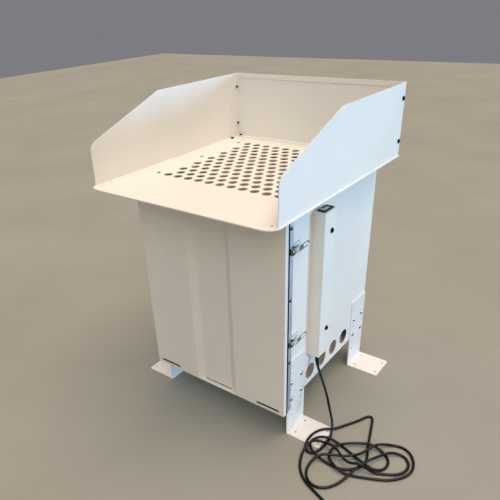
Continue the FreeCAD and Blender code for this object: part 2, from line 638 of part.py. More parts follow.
def latch_bail(z):
    pieces = []
    for side in (-1, 1):
        arm_z = V(0, 0, z + side * BAIL_ARM_Z)
        stub_base = BAIL_PIVOT + V(0, 0, z + side * BAIL_STUB_Z)
        stub = rod(stub_base, BAIL_WIRE_R, BAIL_ARM_Z - BAIL_STUB_Z, V(0, 0, side))
        pieces += [stub] + wire_piece(BAIL_PIVOT + arm_z, BAIL_FRONT + arm_z, BAIL_WIRE_R)
    cross = rod(BAIL_FRONT + V(0, 0, z - BAIL_ARM_Z), BAIL_WIRE_R, 2 * BAIL_ARM_Z, Z_AXIS)
    return fuse_all(cross, pieces)


def build_latches():
    pin_half = 7.4
    fixed = []
    for place, z in LATCH_Z.items():
        fixed.append(latch_base(z))
        fixed.append(rod(V(LATCH_PIVOT.x, LATCH_PIVOT.y, z - pin_half), LATCH_PIN_R, 2 * pin_half, Z_AXIS))
        for side in ("right", "left"):
            for kind, shape in (("lever", latch_lever(z)), ("bail", latch_bail(z))):
                add(f"latch_{kind}_{place}_{side}", shape if side == "right" else mirrored(shape))
    add("latch_bases", *both_sides(fixed))


def centred(x, y, half_x, half_y, z_range):
    """A block about a centre in plan."""
    return block((x - half_x, x + half_x), (y - half_y, y + half_y), z_range)


def build_switch_box():
    outer = block((BODY_HALF_X, BOX_OUT_X), BOX_Y, BOX_Z)
    inner = block((BODY_HALF_X - OVER, BOX_OUT_X - SHEET), (BOX_Y[0] + SHEET, BOX_Y[1] - SHEET),
                  (BOX_Z[0] + SHEET, BOX_Z[1] - SHEET))
    neck_r = 6.0
    slack = 0.1
    through = SHEET + 2 * OVER
    openings = [inner,
                centred(SWITCH_X, SWITCH_Y, *SWITCH_CUT, (BOX_Z[1] - SHEET - OVER, BOX_Z[1] + OVER)),
                rod(V(GLAND_X, GLAND_Y, BOX_Z[0] - OVER), neck_r + slack, through, Z_AXIS)]
    openings += [rod(V(BOX_OUT_X - SHEET - OVER, BOX_SCREW_Y, z), M5_HOLE_R, through, X_AXIS)
                 for z in BOX_SCREW_Z]
    add("switch_box", cut_all(outer, openings))
    screw = button_screw(7.4, 5.6, M5_R, 11.0, 4.0)
    add("switch_box_screws", *[placed(screw, V(BOX_OUT_X, BOX_SCREW_Y, z), X_AXIS) for z in BOX_SCREW_Z])
    posts = []
    post_flats = 10.0
    thread_depth = 14.0
    for z in BOX_SCREW_Z:
        post = hexagon(V(BODY_HALF_X, BOX_SCREW_Y, z), post_flats, BOX_OUT_X - SHEET - BODY_HALF_X, X_AXIS)
        thread = rod(V(BOX_OUT_X - thread_depth, BOX_SCREW_Y, z), M5_HOLE_R, thread_depth, X_AXIS)
        posts.append(post.cut(thread))
    add("switch_box_posts", *posts)
    add("terminal_block", block((BODY_HALF_X, BODY_HALF_X + 16), (-48.0, -24.0), (262.0, 312.0)))
    build_switch()

    collar_h = 6.0
    collar_flats = 17.0
    nut_h = 4.0
    collar_z = BOX_Z[0] - collar_h
    neck = rod(V(GLAND_X, GLAND_Y, collar_z), neck_r, collar_h + SHEET + nut_h + 2.5, Z_AXIS)
    collar = hexagon(V(GLAND_X, GLAND_Y, collar_z), collar_flats, collar_h, Z_AXIS)
    nose = Part.makeCone(5.2, 7.4, collar_z - GLAND_END_Z, V(GLAND_X, GLAND_Y, GLAND_END_Z))
    gland_nut = nut(V(GLAND_X, GLAND_Y, BOX_Z[0] + SHEET), collar_flats, nut_h, neck_r + 0.05, Z_AXIS)
    add("cable_gland", fuse_all(neck, [collar, nose]), gland_nut)


def build_switch():
    """The rocker switch: a housing with a raised rim, and the rocker on its trunnions."""
    rim = centred(SWITCH_X, SWITCH_Y, *SWITCH_HALF, (BOX_Z[1], BOX_Z[1] + SWITCH_RIM))
    fit = 0.2
    housing_foot = 662.0
    housing = centred(SWITCH_X, SWITCH_Y, SWITCH_CUT[0] - fit, SWITCH_CUT[1] - fit, (housing_foot, BOX_Z[1]))
    pocket = centred(SWITCH_X, SWITCH_Y, ROCKER_HALF[0] + 0.25, ROCKER_HALF[1] + 0.8,
                     (housing_foot + 12.0, BOX_Z[1] + SWITCH_RIM + OVER))
    trunnion_half = 8.5
    trunnion_r = 1.5
    socket = rod(V(SWITCH_X - trunnion_half - 0.1, SWITCH_Y, ROCKER_PIVOT_Z), trunnion_r + 0.05,
                 2 * trunnion_half + 0.2, X_AXIS)
    add("switch_housing", cut_all(rim.fuse(housing).removeSplitter(), [pocket, socket]))

    half = ROCKER_HALF[1]
    wing_top = 4.6
    dip_top = 2.6
    profile = [V(0, -half, wing_top), V(0, 0, dip_top), V(0, half, wing_top), V(0, half, -0.5), V(0, 6, -6),
               V(0, -6, -6), V(0, -half, -0.5)]
    rocker = prism([point + V(-ROCKER_HALF[0], 0, 0) for point in profile], V(2 * ROCKER_HALF[0], 0, 0))
    trunnions = rod(V(-trunnion_half, 0, 0), trunnion_r, 2 * trunnion_half, X_AXIS)
    rocker = rocker.fuse(trunnions).removeSplitter()
    rocker.rotate(V(0, 0, 0), X_AXIS, ROCKER_REST_DEG)
    rocker.translate(V(SWITCH_X, SWITCH_Y, ROCKER_PIVOT_Z))
    add("switch_rocker", rocker)


def disc(radius, z_range):
    """A disc or tube blank about the fan's axis."""
    return rod(V(0, FAN_Y, z_range[0]), radius, z_range[1] - z_range[0], Z_AXIS)


def build_fan():
    inner = BODY_HALF_X - SHEET
    deck = block((-inner, inner), (BODY_FRONT + SHEET, BODY_REAR - SHEET), (DECK_Z, DECK_Z + DECK_T))
    add("fan_deck", deck.cut(disc(NOZZLE_R + 0.4, (DECK_Z - OVER, DECK_Z + DECK_T + OVER))))
    nozzle = disc(NOZZLE_R, (DECK_Z - NOZZLE_DROP, DECK_Z + DECK_T))
    lip = disc(NOZZLE_LIP_R, (DECK_Z + DECK_T, DECK_Z + DECK_T + SHEET))
    throat = disc(NOZZLE_R - 2.0, (DECK_Z - NOZZLE_DROP - OVER, DECK_Z + DECK_T + SHEET + OVER))
    add("inlet_ring", nozzle.fuse(lip).removeSplitter().cut(throat))

    half = BRACKET_HALF_Y
    beam = block((-inner, inner), (FAN_Y - half, FAN_Y + half), (MOTOR_BASE - BRACKET_T, MOTOR_BASE))
    lip_z = (MOTOR_BASE - BRACKET_LIP, MOTOR_BASE)
    lips = [block((-inner, inner), (FAN_Y - half, FAN_Y - half + BRACKET_T), lip_z),
            block((-inner, inner), (FAN_Y + half - BRACKET_T, FAN_Y + half), lip_z)]
    add("motor_bracket", fuse_all(beam, lips))
    motor_top = MOTOR_BASE + MOTOR_HEIGHT
    shaft_foot = MOTOR_BASE + 30.0
    bore_r = SHAFT_R + 0.05
    can = disc(MOTOR_R, (MOTOR_BASE, motor_top))
    boss = disc(18.0, (motor_top, motor_top + 6.0))
    add("fan_motor", fuse_all(can, [boss]).cut(disc(bore_r, (shaft_foot, motor_top + 6.0 + OVER))))
    add("fan_shaft", disc(SHAFT_R, (shaft_foot + 0.5, WHEEL_Z[0] + 28.5)))

    low, high = WHEEL_Z
    back = disc(WHEEL_R, (low, low + 3.0))
    hub = disc(20.0, (low, low + 26.0))
    shroud = disc(WHEEL_R, (high - 2.0, high)).cut(disc(98.0, (high - 2.0 - OVER, high + OVER)))
    blades = []
    for number in range(BLADES):
        blade = block((BLADE_IN_R, WHEEL_R - 1.0), (-BLADE_T / 2, BLADE_T / 2), WHEEL_Z)
        blade.rotate(V(BLADE_IN_R, 0, 0), Z_AXIS, BLADE_DEG)
        blade.translate(V(0, -14, 0))
        blade.rotate(V(0, 0, 0), Z_AXIS, 360 / BLADES * number)
        blade.translate(V(0, FAN_Y, 0))
        blades.append(blade)
    wheel = fuse_all(back, [hub, shroud] + blades).common(disc(WHEEL_R, WHEEL_Z))
    add("fan_wheel", wheel.cut(disc(bore_r, (low - OVER, high + OVER))))


def build_filter():
    inner = BODY_HALF_X - SHEET
    rail_y = (FILTER_Y[0] - 5.0, FILTER_Y[1] + 5.0)
    shelf = block((inner - RAIL_WIDTH, inner), rail_y, (RAIL_Z - RAIL_T, RAIL_Z))
    upright = block((inner - RAIL_T, inner), rail_y, (RAIL_Z - RAIL_T, RAIL_Z + RAIL_UP))
    add("filter_rails", *both_sides([shelf.fuse(upright).removeSplitter()]))
    low = RAIL_Z + 0.2
    high = low + FILTER_DEPTH
    case = block((-FILTER_HALF_X, FILTER_HALF_X), FILTER_Y, (low, high))
    hollow_half = FILTER_HALF_X - FILTER_WALL
    hollow_y = (FILTER_Y[0] + FILTER_WALL, FILTER_Y[1] - FILTER_WALL)
    add("filter_frame", case.cut(block((-hollow_half, hollow_half), hollow_y, (low - OVER, high + OVER))))
    step = 2 * hollow_half / FOLDS
    upper = []
    lower = []
    for index in range(FOLDS + 1):
        x = -hollow_half + index * step
        height = low + (FOLD_HIGH if index % 2 else FOLD_LOW)
        upper.append(V(x, hollow_y[0], height + FOLD_T))
        lower.append(V(x, hollow_y[0], height))
    add("filter_pleats", prism(upper + lower[::-1], V(0, hollow_y[1] - hollow_y[0], 0)))
    add("prefilter_mat", block((-hollow_half, hollow_half), hollow_y, (high - MAT_DOWN[1], high - MAT_DOWN[0])))


def build_pile():
    """The outer shape of the loose loops, which lie partly on the front right foot."""
    outline = [V(304, -170, 0), V(306, -135, 0), V(318, -95, 0), V(338, -74, 0), V(368, -70, 0),
               V(392, -112, 0), V(438, -90, 0), V(470, -74, 0), V(505, -54, 0), V(530, -34, 0),
               V(562, -26, 0), V(594, -52, 0), V(614, -95, 0), V(613, -130, 0), V(596, -160, 0),
               V(560, -186, 0), V(492, -214, 0), V(480, -256, 0), V(452, -302, 0), V(418, -318, 0),
               V(384, -322, 0), V(350, -296, 0), V(328, -264, 0), V(317, -222, 0)]
    radii = []
    for index, corner in enumerate(outline):
        before = outline[index - 1]
        after = outline[(index + 1) % len(outline)]
        shorter = min(corner.distanceToPoint(before), corner.distanceToPoint(after))
        half_turn = (math.pi - (before - corner).getAngle(after - corner)) / 2.0
        radii.append(0.4 * shorter / math.tan(half_turn))
    pile = Part.Face(rounded_outline(outline, radii)).extrude(V(0, 0, PILE_HEIGHT))
    gap = 0.3
    reach = FOOT_WIDTH / 2 + gap
    sole_y = (FOOT_Y["front"] - reach, FOOT_Y["front"] + reach)
    return pile.cut(block((BODY_HALF_X, FOOT_OUT_X + gap), sole_y, (-OVER, FOOT_T + gap)))


def build_plug(base, way):
    """A plug with a tapered sleeve and grip, and two round pins."""
    sleeve_end = 16.0
    grip_end = 28.0
    face_end = 46.0
    seat = 38.0
    pin_r = 2.38
    sleeve = Part.makeCone(6.5, 11.0, sleeve_end)
    grip = Part.makeCone(11.0, PLUG_R, grip_end - sleeve_end, V(0, 0, sleeve_end))
    face = Part.makeCylinder(PLUG_R, face_end - grip_end, V(0, 0, grip_end))
    seats = [rod(V(side * PIN_APART, 0, seat), pin_r + 0.02, face_end, Z_AXIS) for side in (-1, 1)]
    body = cut_all(fuse_all(sleeve, [grip, face]), seats)
    turn = FreeCAD.Placement(base, FreeCAD.Rotation(Z_AXIS, way))
    body.Placement = turn
    pins = [rod(V(side * PIN_APART, 0, seat + 0.05), pin_r, PIN_END - seat - 0.05, Z_AXIS) for side in (-1, 1)]
    for pin in pins:
        pin.Placement = turn.multiply(pin.Placement)
    add("plug", body, *pins)


def build_cord():
    pile = build_pile()
    add("cord_pile", pile)
    coil_centre = V(COIL_X, COIL_Y, 0)
    coil = rod(coil_centre, COIL_OUTER_R, COIL_HEIGHT, Z_AXIS).cut(
        rod(coil_centre - V(0, 0, OVER), COIL_INNER_R, COIL_HEIGHT + 2 * OVER, Z_AXIS))
    add("cord_coil", coil)
    lead = [V(GLAND_X, GLAND_Y, GLAND_END_Z), V(GLAND_X, GLAND_Y, 194), V(276, -45, 164), V(297, -55.5, 134),
            V(313, -63, 105), V(323, -68, 76), V(333, -74, 52), V(345, -82, 30), V(350, -87, 10)]
    add("cord_lead", tube("cord_lead", lead, CORD_R).cut(pile))
    bight = [V(362, -82, 4.2), V(366, -62, 4.2), V(378, -38, 4.2), V(396, -9, 4.2), V(409, 20, 4.2),
             V(418, 34, 4.2), V(431, 30, 4.2), V(442, -6, 4.2), V(456, -50, 4.2), V(470, -96, 4.2)]
    add("cord_bight", tube("cord_bight", bight, CORD_R).cut(pile))
    tail = [V(394, -303, 4.2), V(416, -321, 4.2), V(444, -332, 4.2), V(472, -342, 4.2), V(493, -353, 4.2),
            V(513, -365, 4.2)]
    plug_base = V(601.0, -470.0, PLUG_R)
    plug_way = V(0.35, -1.0, 0).normalize()
    end = [V(560, -391, 10), V(577, -408, 14), V(588, -430, PLUG_R), plug_base - plug_way * 8, plug_base]
    tail_tube = tube("cord_tail", tail, CORD_R).cut(pile).cut(coil)
    add("cord_tail", tail_tube, tube("cord_end", end, CORD_R).cut(coil))
    build_plug(plug_base, plug_way)


def main():
    build_tray()
    build_guards()
    build_back_panel()
    build_side_panels()
    build_cabinet()
    build_feet()
    build_door()
    build_latches()
    build_switch_box()
    build_fan()
    build_filter()
    build_cord()
    os.makedirs("parts", exist_ok=True)
    for name, shape in sorted(parts.items()):
        shape.exportStep(f"parts/{name}.step")
        state = "ok" if shape.isValid() and all(solid.Volume > 0 for solid in shape.Solids) else "BAD"
        print(f"{name}: {len(shape.Solids)} solids, {shape.Volume / 1000.0:.1f} cm3, {state}")
    print(len(parts), "nodes")


main()
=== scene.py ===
import math

import bmesh
import bpy
import numpy as np
from mathutils import Matrix, Vector


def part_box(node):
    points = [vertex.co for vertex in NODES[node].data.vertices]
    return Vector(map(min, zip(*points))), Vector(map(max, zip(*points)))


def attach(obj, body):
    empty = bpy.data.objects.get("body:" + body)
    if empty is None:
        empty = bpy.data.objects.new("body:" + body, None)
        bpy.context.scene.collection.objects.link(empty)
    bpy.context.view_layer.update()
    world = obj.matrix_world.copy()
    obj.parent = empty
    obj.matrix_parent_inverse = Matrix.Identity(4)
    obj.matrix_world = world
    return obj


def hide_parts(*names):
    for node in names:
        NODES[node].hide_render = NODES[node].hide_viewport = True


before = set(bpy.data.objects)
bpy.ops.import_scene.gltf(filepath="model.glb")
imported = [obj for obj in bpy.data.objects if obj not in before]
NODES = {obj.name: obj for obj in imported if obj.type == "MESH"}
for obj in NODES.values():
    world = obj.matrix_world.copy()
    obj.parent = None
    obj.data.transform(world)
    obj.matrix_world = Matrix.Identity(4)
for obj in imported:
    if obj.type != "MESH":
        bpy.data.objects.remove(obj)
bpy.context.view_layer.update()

MM = 0.001

# ---------------------------------------------------------------- camera
CAMERA_AT = Vector((0.8578, -1.2009, 1.1828))
CAMERA_YAW = math.radians(-38.37)
CAMERA_PITCH = math.radians(-30.44)
CAMERA_ROLL = math.radians(-2.77)
CAMERA_LENS = 37.62
CAMERA_SHIFT = (0.0365, 0.1026)


def make_camera():
    ahead = Vector((math.sin(CAMERA_YAW) * math.cos(CAMERA_PITCH),
                    math.cos(CAMERA_YAW) * math.cos(CAMERA_PITCH), math.sin(CAMERA_PITCH)))
    right = ahead.cross(Vector((0, 0, 1))).normalized()
    up = right.cross(ahead)
    rolled_right = right * math.cos(CAMERA_ROLL) + up * math.sin(CAMERA_ROLL)
    rolled_up = up * math.cos(CAMERA_ROLL) - right * math.sin(CAMERA_ROLL)
    turn = Matrix((rolled_right, rolled_up, -ahead)).transposed().to_4x4()
    camera = bpy.data.objects.new("camera", bpy.data.cameras.new("camera"))
    camera.matrix_world = Matrix.Translation(CAMERA_AT) @ turn
    camera.data.lens = CAMERA_LENS
    camera.data.sensor_width = 36.0
    camera.data.shift_x, camera.data.shift_y = CAMERA_SHIFT
    bpy.context.scene.collection.objects.link(camera)
    bpy.context.scene.camera = camera


make_camera()


# ---------------------------------------------------------------- materials
class Shader:
    """A node material with one Principled shader and short helpers for what feeds it."""

    def __init__(self, name, colour, roughness, metallic=0.0, **sockets):
        self.material = bpy.data.materials.new(name)
        self.material.use_nodes = True
        self.material.diffuse_color = (*colour, 1.0)
        self.tree = self.material.node_tree
        self.main = self.tree.nodes["Principled BSDF"]
        self.main.inputs["Base Color"].default_value = (*colour, 1.0)
        self.main.inputs["Roughness"].default_value = roughness
        self.main.inputs["Metallic"].default_value = metallic
        for socket, value in sockets.items():
            self.main.inputs[socket.replace("_", " ")].default_value = value
        self.place = self.node("ShaderNodeTexCoord").outputs["Object"]

    def node(self, kind, **settings):
        made = self.tree.nodes.new(kind)
        for key, value in settings.items():
            setattr(made, key, value)
        return made

    def link(self, source, target):
        self.tree.links.new(source, target)

    def stretched(self, scale):
        mapping = self.node("ShaderNodeMapping")
        mapping.inputs["Scale"].default_value = scale
        self.link(self.place, mapping.inputs["Vector"])
        return mapping.outputs["Vector"]

    def noise(self, scale, detail=4.0, roughness=0.5, at=None):
        made = self.node("ShaderNodeTexNoise")
        made.inputs["Scale"].default_value = scale
        made.inputs["Detail"].default_value = detail
        made.inputs["Roughness"].default_value = roughness
        self.link(at or self.place, made.inputs["Vector"])
        return made.outputs["Fac"]

    def ramp(self, source, low, high, colours):
        made = self.node("ShaderNodeValToRGB")
        first, last = made.color_ramp.elements
        first.position, last.position = low, high
        first.color = (*colours[0], 1.0)
        last.color = (*colours[1], 1.0)
        self.link(source, made.inputs["Fac"])
        return made.outputs["Color"]

    def spread(self, source, low, high):
        made = self.node("ShaderNodeMapRange")
        made.inputs["From Min"].default_value = 0.3
        made.inputs["From Max"].default_value = 0.7
        made.inputs["To Min"].default_value = low
        made.inputs["To Max"].default_value = high
        self.link(source, made.inputs["Value"])
        return made.outputs["Result"]

    def colour_from(self, source):
        self.link(source, self.main.inputs["Base Color"])

    def roughness_from(self, source):
        self.link(source, self.main.inputs["Roughness"])

    def bumps(self, layers, edge_radius=0.0):
        """Stack (height source, distance, strength) layers, over edges softened by edge_radius."""
        normal = None
        if edge_radius > 0:
            bevel = self.node("ShaderNodeBevel", samples=4)
            bevel.inputs["Radius"].default_value = edge_radius
            normal = bevel.outputs["Normal"]
        for source, distance, strength in layers:
            bump = self.node("ShaderNodeBump")
            bump.inputs["Distance"].default_value = distance
            bump.inputs["Strength"].default_value = strength
            self.link(source, bump.inputs["Height"])
            if normal:
                self.link(normal, bump.inputs["Normal"])
            normal = bump.outputs["Normal"]
        if normal:
            self.link(normal, self.main.inputs["Normal"])


def shade(colour, factor):
    return tuple(min(1.0, channel * factor) for channel in colour)


def powder_coat(name, colour, edge_radius=0.0009):
    """Sheet metal under powder coat: faint orange peel, slight cloudiness, a few duller handled areas."""
    shader = Shader(name, colour, 0.42, Coat_Weight=0.12, Coat_Roughness=0.3)
    cloud = shader.noise(3.2, 5.0, 0.55)
    shader.colour_from(shader.ramp(cloud, 0.36, 0.66, (shade(colour, 0.965), shade(colour, 1.02))))
    shader.roughness_from(shader.spread(shader.noise(9.0, 6.0, 0.6), 0.36, 0.5))
    peel = shader.noise(650.0, 2.0, 0.4)
    waves = shader.noise(5.0, 1.0, 0.3)
    shader.bumps([(waves, 0.004, 0.10), (peel, 0.00025, 0.22)], edge_radius)
    return shader.material


def plated(name, colour, roughness, streak, edge_radius=0.0004):
    """Plated or bare steel with fine streaks along one direction and cloudy spangle."""
    shader = Shader(name, colour, roughness, metallic=1.0)
    lines = shader.noise(260.0, 3.0, 0.6, shader.stretched(streak))
    cloud = shader.noise(42.0, 4.0, 0.55)
    shader.colour_from(shader.ramp(cloud, 0.3, 0.72, (shade(colour, 0.78), shade(colour, 1.1))))
    shader.roughness_from(shader.spread(lines, roughness * 0.75, roughness * 1.35))
    shader.bumps([(lines, 0.0003, 0.16)], edge_radius)
    return shader.material


def painted_shade_below(material, low, high):
    """Paint shade onto a plated finish: faces that look down turn darker, so that small hardware keeps its
    outline.
    """
    tree = material.node_tree
    main = tree.nodes["Principled BSDF"]
    plain = main.inputs["Base Color"].links[0].from_socket
    split = tree.nodes.new("ShaderNodeSeparateXYZ")
    tree.links.new(tree.nodes.new("ShaderNodeTexCoord").outputs["Normal"], split.inputs["Vector"])
    # low is the painted shade colour for faces that look down, high the plain colour for faces that look up.
    band = tree.nodes.new("ShaderNodeValToRGB")
    first, last = band.color_ramp.elements
    first.position, last.position = 0.42, 0.62
    first.color = (*low, 1.0)
    last.color = (*high, 1.0)
    half = tree.nodes.new("ShaderNodeMath")
    half.operation = "MULTIPLY_ADD"
    half.inputs[1].default_value = 0.5
    half.inputs[2].default_value = 0.5
    tree.links.new(split.outputs["Z"], half.inputs[0])
    tree.links.new(half.outputs["Value"], band.inputs["Fac"])
    product = tree.nodes.new("ShaderNodeVectorMath")
    product.operation = "MULTIPLY"
    tree.links.new(plain, product.inputs[0])
    tree.links.new(band.outputs["Color"], product.inputs[1])
    tree.links.new(product.outputs["Vector"], main.inputs["Base Color"])
    return material


def moulded(name, colour, roughness, grain=900.0, strength=0.25, **sockets):
    shader = Shader(name, colour, roughness, **sockets)
    shader.colour_from(shader.ramp(shader.noise(14.0), 0.3, 0.7, (shade(colour, 0.85), shade(colour, 1.12))))
    shader.roughness_from(shader.spread(shader.noise(30.0, 5.0), roughness * 0.85, roughness * 1.15))
    shader.bumps([(shader.noise(grain, 3.0, 0.6), 0.0003, strength)], 0.0005)
    return shader.material


def fibre_mat(name, colour):
    """A coarse felt of tangled fibres."""
    shader = Shader(name, colour, 0.95)
    coarse = shader.noise(120.0, 6.0, 0.75)
    fine = shader.noise(480.0, 4.0, 0.7, shader.stretched((1.0, 0.35, 1.0)))
    shader.colour_from(shader.ramp(coarse, 0.3, 0.7, (shade(colour, 0.5), shade(colour, 1.35))))
    shader.bumps([(coarse, 0.004, 0.8), (fine, 0.001, 0.7)])
    return shader.material


def pleat_paper(name, colour):
    shader = Shader(name, colour, 0.9)
    cloud = shader.noise(60.0, 5.0)
    shader.colour_from(shader.ramp(cloud, 0.3, 0.7, (shade(colour, 0.86), shade(colour, 1.05))))
    shader.bumps([(shader.noise(700.0, 4.0, 0.7), 0.0006, 0.4)])
    return shader.material


WHITE = powder_coat("powder_coat_white", (0.82, 0.80, 0.755))
FOOT_WHITE = powder_coat("powder_coat_feet", (0.80, 0.785, 0.775))
DOOR_WHITE = powder_coat("powder_coat_door", (0.80, 0.78, 0.72))
INSIDE_WHITE = powder_coat("powder_coat_inside", (0.80, 0.77, 0.66), 0.0)
ZINC = plated("zinc_plate", (0.78, 0.86, 0.91), 0.15, (1.0, 1.0, 5.0))
# Latch zinc with painted shade: its faces that look down are darkened towards near-black.
LATCH_ZINC_PAINTED_SHADE = painted_shade_below(plated("latch_zinc_painted_shade", (0.80, 0.90, 0.95), 0.2, (1.0, 1.0, 5.0)),
                          (0.10, 0.13, 0.15), (1.0, 1.0, 1.0))
BARE_STRIP = plated("bare_strip", (0.62, 0.68, 0.78), 0.45, (40.0, 40.0, 0.6))
# Painted shade: a dark finish for the tongues' upward faces, which lie in shadow inside the door's slots.
TONGUE_TOP_PAINTED_SHADE = plated("tongue_top_painted_shade", (0.16, 0.165, 0.17), 0.45, (6.0, 1.0, 1.0))
SPRING_STEEL = plated("spring_steel", (0.10, 0.105, 0.11), 0.3, (6.0, 6.0, 1.0))
DULL_STEEL = plated("galvanised", (0.55, 0.56, 0.57), 0.5, (1.0, 12.0, 1.0))
BLACK_SCREW = moulded("black_oxide", (0.003, 0.003, 0.0035), 0.5, Specular_IOR_Level=0.15)
SUNK_SCREW = moulded("blackened_countersunk", (0.0012, 0.0012, 0.0014), 0.85, Specular_IOR_Level=0.0)
BLACK_PLASTIC = moulded("black_plastic", (0.007, 0.007, 0.008), 0.55, Specular_IOR_Level=0.2)
ROCKER_PLASTIC = moulded("rocker_plastic", (0.50, 0.54, 0.53), 0.22, 1400.0, 0.1)
RUBBER = moulded("seal_rubber", (0.006, 0.006, 0.007), 0.85, 500.0, 0.5, Specular_IOR_Level=0.15)
JACKET = moulded("cord_jacket", (0.0028, 0.0032, 0.0042), 0.3, 380.0, 0.15, Specular_IOR_Level=0.3)
MOTOR_PAINT = powder_coat("motor_paint", (0.10, 0.11, 0.13))
MAT_FIBRE = fibre_mat("prefilter_fibre", (0.34, 0.31, 0.205))
PLEATS = pleat_paper("pleat_medium", (0.74, 0.73, 0.66))

FINISHES = [
    (WHITE, ("tray_plate", "guard_left", "guard_right", "back_panel", "side_panel_left", "side_panel_right",
             "rear_panel", "switch_box", "door_tongues", "latch_bases")),
    (FOOT_WHITE, ("foot_front_left", "foot_front_right", "foot_rear_left", "foot_rear_right")),
    (DOOR_WHITE, ("door_skin",)),
    (INSIDE_WHITE, ("front_frame", "base_panel", "door_liner")),
    (ZINC, ("foot_nuts", "guard_nuts", "switch_box_posts", "fan_shaft", "guard_tab_screws")),
    (LATCH_ZINC_PAINTED_SHADE, ("foot_bolts", "latch_keepers")),
    (BARE_STRIP, ("door_strips",)),
    (SPRING_STEEL, ("door_strip_screws",)),
    (DULL_STEEL, ("filter_rails", "fan_deck", "inlet_ring", "motor_bracket", "fan_wheel", "filter_frame")),
    (BLACK_SCREW, ("guard_bolts", "corner_screws", "switch_box_screws")),
    (SUNK_SCREW, ("tray_screws",)),
    (BLACK_PLASTIC, ("switch_housing", "cable_gland", "terminal_block")),
    (ROCKER_PLASTIC, ("switch_rocker",)),
    (RUBBER, ("door_edge_trims", "door_gasket")),
    (JACKET, ("cord_lead", "cord_bight", "cord_tail", "cord_pile", "cord_coil", "plug")),
    (MOTOR_PAINT, ("fan_motor",)),
    (MAT_FIBRE, ("prefilter_mat",)),
    (PLEATS, ("filter_pleats",)),
]


def dress(obj, material):
    obj.data.materials.clear()
    obj.data.materials.append(material)
    for polygon in obj.data.polygons:
        polygon.material_index = 0


def finish_nodes():
    for material, names in FINISHES:
        for name in names:
            dress(NODES[name], material)
    for name, node in NODES.items():
        if name.startswith(("latch_lever", "latch_bail")):
            dress(node, LATCH_ZINC_PAINTED_SHADE)
    # The tongues' upward faces take the painted shade; the front lip stays white.
    tongues = NODES["door_tongues"].data
    tongues.materials.append(TONGUE_TOP_PAINTED_SHADE)
    for polygon in tongues.polygons:
        polygon.material_index = int(polygon.normal.z > 0.5)


finish_nodes()

# ---------------------------------------------------------------- mains cord, in millimetres
CORD_R = 4.0
CORD_D = 2 * CORD_R
ON_FLOOR = 4.2
SOLE_TOP = 3.0
LEAD = [(257, -36, 218), (257, -36, 194), (276, -45, 164), (297, -55.5, 134), (313, -63, 105), (323, -68, 76),
        (334, -74, 52), (346, -83, 31), (353, -98, 14)]
FIRST_LOOP = [(358, -115), (361, -138), (360, -168), (354, -193), (342, -209), (327, -208), (315, -195),
              (308, -173), (308, -145), (315, -118), (330, -98)]
BIGHT = [(350, -86, 7.5), (362, -68, 6), (378, -38), (396, -9), (409, 20), (418, 34), (431, 30), (442, -6),
         (456, -50), (470, -96)]
PILE = [(482, -124), (489, -150), (482, -178), (464, -200), (441, -213), (414, -216), (386, -215), (358, -211),
        (334, -198), (321, -177), (322, -154), (336, -139), (359, -131), (383, -129), (410, -133), (434, -140),
        (456, -151), (476, -160), (498, -167), (520, -164), (538, -151), (545, -130), (540, -108), (526, -93),
        (502, -84), (474, -84), (445, -96), (417, -117), (395, -143), (386, -167), (390, -189), (404, -207),
        (426, -220), (450, -224), (477, -217), (505, -205), (534, -192), (566, -175), (591, -150), (606, -123),
        (608, -96), (598, -67), (578, -43), (553, -35), (526, -43), (504, -62), (489, -87), (477, -112),
        (466, -136), (451, -157), (430, -173), (403, -187), (379, -203), (366, -222), (359, -247), (363, -273),
        (376, -294), (397, -307), (419, -307), (440, -293), (455, -270), (467, -241), (476, -210), (488, -176),
        (500, -144), (514, -113), (529, -88), (546, -72), (565, -66), (582, -74), (593, -90), (595, -111),
        (588, -131), (571, -148), (549, -160), (527, -172), (505, -180), (484, -188), (462, -193), (439, -187),
        (414, -175), (387, -162), (363, -156), (342, -161), (327, -178), (321, -207), (326, -237), (339, -268),
        (358, -292), (383, -310), (412, -321)]
TAIL = [(443, -332), (471, -343), (496, -355)]
COIL_X = 525.0
COIL_Y = -408.0
COIL_R = 48.0
COIL_PITCH = 8.4
COIL_START = math.radians(100.0)
COIL_TURNS = 6.2
COIL_STEPS = 18
COIL_MOVES_IN = (0.83, 1.83)
COIL_CLIMBS = 2.83
COIL_MOVES_OUT = (4.05, 5.05)
COIL_MOVE_TURNS = 0.17
END = [(577, -408, 14), (588, -430, 17.5), (598.2, -462.4, 17.5), (601, -470, 17.5)]


def moved(turns, start):
    """How far the cord has moved over, from 0 to 1, in the move that begins at start."""
    return min(1.0, max(0.0, (turns - start) / COIL_MOVE_TURNS))


def coil_points():
    """Two layers of three turns: wound inwards on the floor, up at the middle and outwards on top."""
    points = []
    for step in range(int(COIL_TURNS * COIL_STEPS) + 1):
        turns = step / COIL_STEPS
        inward = sum(moved(turns, start) for start in COIL_MOVES_IN)
        outward = sum(moved(turns, start) for start in COIL_MOVES_OUT)
        rise = moved(turns, COIL_CLIMBS)
        radius = COIL_R - COIL_PITCH * (inward - outward)
        height = ON_FLOOR + COIL_PITCH * math.sqrt(2 * rise - rise * rise)
        angle = COIL_START - 2 * math.pi * turns
        points.append((COIL_X + radius * math.cos(angle), COIL_Y + radius * math.sin(angle), height))
    return points


def on_ground(point):
    return point if len(point) == 3 else (*point, ON_FLOOR)


def spline_samples(control, per_run=6):
    """Points on the open quadratic B-spline of the control points, and the run that each belongs to."""
    mid = (control[:-1] + control[1:]) / 2
    mid[0] = control[0]
    mid[-1] = control[-1]
    samples = []
    owners = []
    for index in range(1, len(control) - 1):
        for t in np.arange(per_run) / per_run:
            start, corner, end = mid[index - 1], control[index], mid[index]
            samples.append((1 - t) ** 2 * start + 2 * t * (1 - t) * corner + t * t * end)
            owners.append(index)
    return np.array(samples), np.array(owners)


